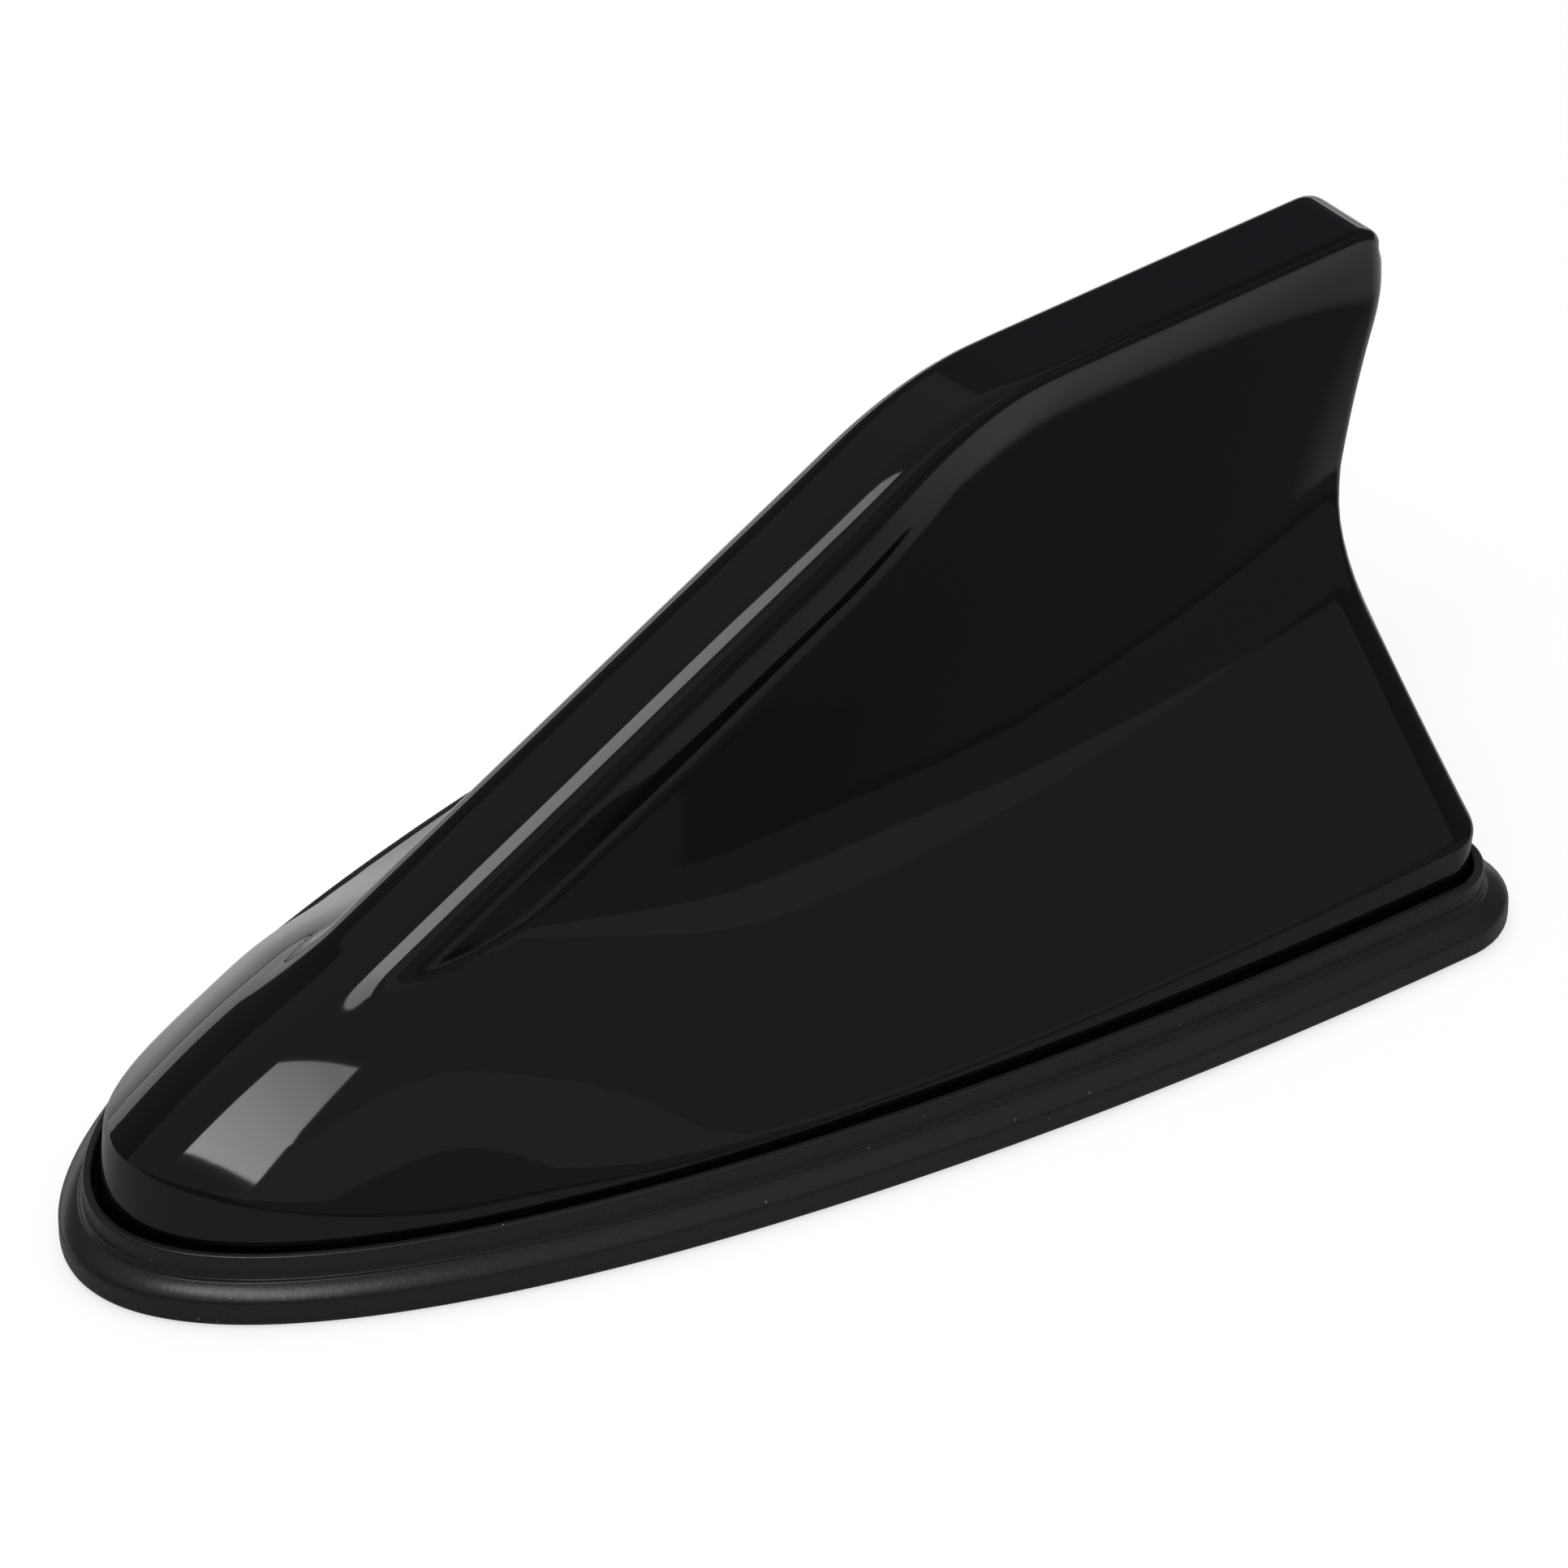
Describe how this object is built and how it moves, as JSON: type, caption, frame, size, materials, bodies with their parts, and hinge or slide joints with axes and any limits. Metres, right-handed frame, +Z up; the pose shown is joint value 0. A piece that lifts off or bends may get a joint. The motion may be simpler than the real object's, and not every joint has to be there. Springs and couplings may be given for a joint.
{
  "type": "shark fin aerial",
  "caption": "Fin-shaped car roof aerial: glossy moulded cover with a domed nose and raised spine on a matt rubber gasket, with the receiving parts inside.",
  "frame": {"origin": "centre of the bounding box on the roof's surface, under the gasket", "axes": "+X from the nose to the tail, +Z up from the roof"},
  "size_m": [0.17, 0.0932, 0.0639],
  "materials": {
    "cover_abs": "glossy black moulded ABS",
    "gasket_rubber": "matt black rubber",
    "plate_plastic": "black moulded plastic",
    "pad_foam": "dark grey foam",
    "grommet_rubber": "black rubber",
    "screw_steel": "zinc-plated steel",
    "board_laminate": "green board laminate",
    "holder_plastic": "natural moulded plastic",
    "tinned_sheet": "tinned sheet steel",
    "former_plastic": "black moulded plastic",
    "copper_wire": "bare copper",
    "chip_resin": "black resin",
    "ceramic": "tan ceramic",
    "ferrite": "dark ferrite"
  },
  "bodies": {
    "root": {"fin_cover": "cover_abs", "sealing_gasket": "gasket_rubber", "base_plate": "plate_plastic", "adhesive_pad": "pad_foam", "cable_grommet": "grommet_rubber", "cover_screws": "screw_steel", "amplifier_board": "board_laminate", "board_screws": "screw_steel", "plate_holder": "holder_plastic", "holder_screws": "screw_steel", "capacity_plate": "tinned_sheet", "coil_former": "former_plastic", "helical_coil": "copper_wire", "contact_strip": "copper_wire", "shield_can": "tinned_sheet", "amplifier_chip": "chip_resin", "chip_capacitors": "ceramic", "chip_resistors": "chip_resin", "chip_inductors": "ferrite", "cable_clamp": "tinned_sheet", "foam_strip": "pad_foam"}
  },
  "joints": []
}
